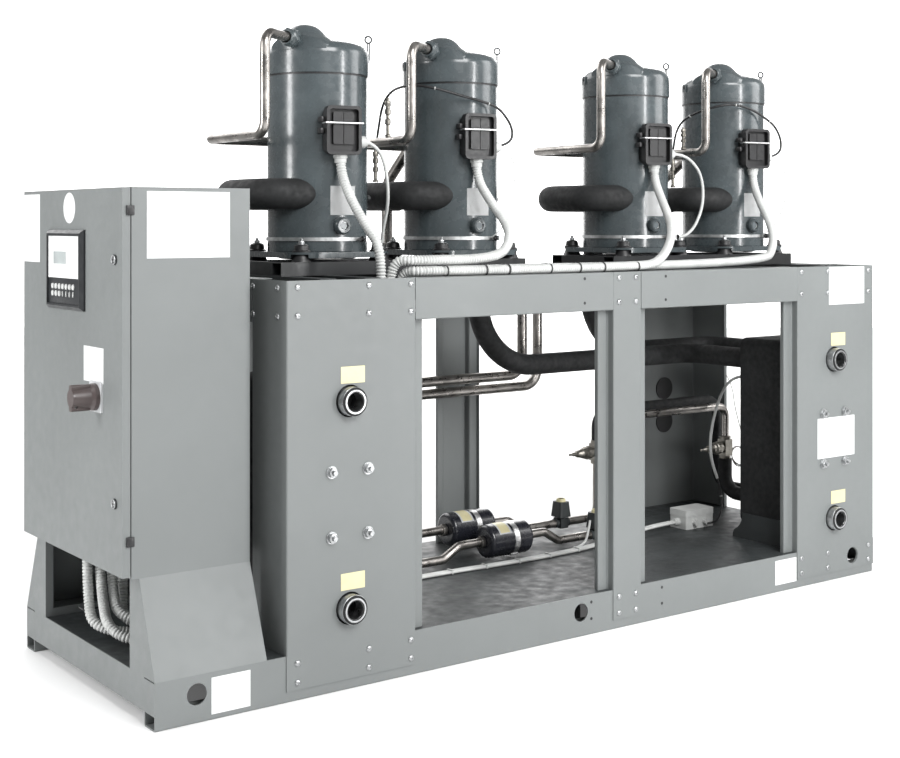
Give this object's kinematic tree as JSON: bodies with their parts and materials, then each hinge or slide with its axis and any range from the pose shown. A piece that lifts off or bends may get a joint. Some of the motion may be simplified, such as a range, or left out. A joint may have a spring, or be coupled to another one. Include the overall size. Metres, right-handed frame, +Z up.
{
  "type": "indoor water-cooled chiller",
  "caption": "Water chiller on a lifting base: open frame with corner panels, plate heat exchangers and piping, upright scroll compressors on the deck, and an electrical cabinet.",
  "frame": {"origin": "centre of the base in plan, at ground level, on the underside of the middle cross member", "axes": "+X along the row of compressors away from the cabinet, +Y from the panelled front to the back, +Z up"},
  "size_m": [2.8155, 0.8997, 1.7819],
  "materials": {
    "frame_paint": "fine textured powder coat",
    "compressor_paint": "gloss paint",
    "black_steel": "satin",
    "dark_steel": "satin",
    "black_plastic": "matte",
    "pipe_insulation": "matte",
    "exchanger_insulation": "matte",
    "bare_pipe": "drawn",
    "handle_plastic": "matte",
    "display_frame": "matte",
    "white_plastic": "matte",
    "grey_plastic": "matte",
    "zinc_steel": "zinc plated"
  },
  "bodies": {
    "frame": {"base_back_beam": "frame_paint", "base_front_beam": "frame_paint", "base_left_end_beam": "frame_paint", "base_mid_cross_member": "frame_paint", "base_right_end_beam": "frame_paint", "cabinet_body": "frame_paint", "cabinet_mounting_plate": "zinc_steel", "cabinet_support_back": "frame_paint", "cabinet_support_front": "frame_paint", "cable_plugs": "black_plastic", "compressor_1": "compressor_paint", "compressor_2": "compressor_paint", "compressor_3": "compressor_paint", "compressor_4": "compressor_paint", "compressor_rails": "black_steel", "condenser": "exchanger_insulation", "control_lines": "black_plastic", "corner_panel_back_left": "frame_paint", "corner_panel_back_right": "frame_paint", "corner_panel_front_left": "frame_paint", "corner_panel_front_right": "frame_paint", "deck_cross_members": "dark_steel", "discharge_line_1": "bare_pipe", "discharge_line_2": "bare_pipe", "evaporator": "exchanger_insulation", "evaporator_feed_lines": "pipe_insulation", "exchanger_stands": "dark_steel", "expansion_valves": "dark_steel", "filter_drier_1": "dark_steel", "filter_drier_2": "dark_steel", "floor_cable": "white_plastic", "floor_pan": "dark_steel", "heater_bands": "dark_steel", "junction_box": "grey_plastic", "liquid_line_1": "bare_pipe", "liquid_line_2": "bare_pipe", "mid_post_back": "frame_paint", "mid_post_front": "frame_paint", "power_conduit_1": "white_plastic", "power_conduit_2": "white_plastic", "power_conduit_3": "white_plastic", "power_conduit_4": "white_plastic", "rubber_mounts": "black_plastic", "solenoid_valves": "dark_steel", "suction_line_1": "pipe_insulation", "suction_line_2": "pipe_insulation", "terminal_box_1": "black_plastic", "terminal_box_2": "black_plastic", "terminal_box_3": "black_plastic", "terminal_box_4": "black_plastic", "terminal_plugs": "white_plastic", "top_beams_back": "frame_paint", "top_beams_front": "frame_paint", "top_end_beam_left": "frame_paint", "top_end_beam_right": "frame_paint"},
    "door": {"cabinet_door": "frame_paint", "display_panel": "display_frame", "door_locks": "dark_steel", "isolator_plate": "grey_plastic"},
    "handle": {"isolator_handle": "handle_plastic"}
  },
  "joints": [
    {"name": "cabinet_door_hinge", "type": "hinge", "parent": "frame", "child": "door", "pos_m": [-1.371, 0.347, 0.83], "axis": [0, 0, -1], "range_deg": [0, 110]},
    {"name": "isolator_turn", "type": "hinge", "parent": "door", "child": "handle", "pos_m": [-1.393, -0.183, 0.781], "axis": [-1, 0, 0], "range_deg": [0, 90]}
  ]
}
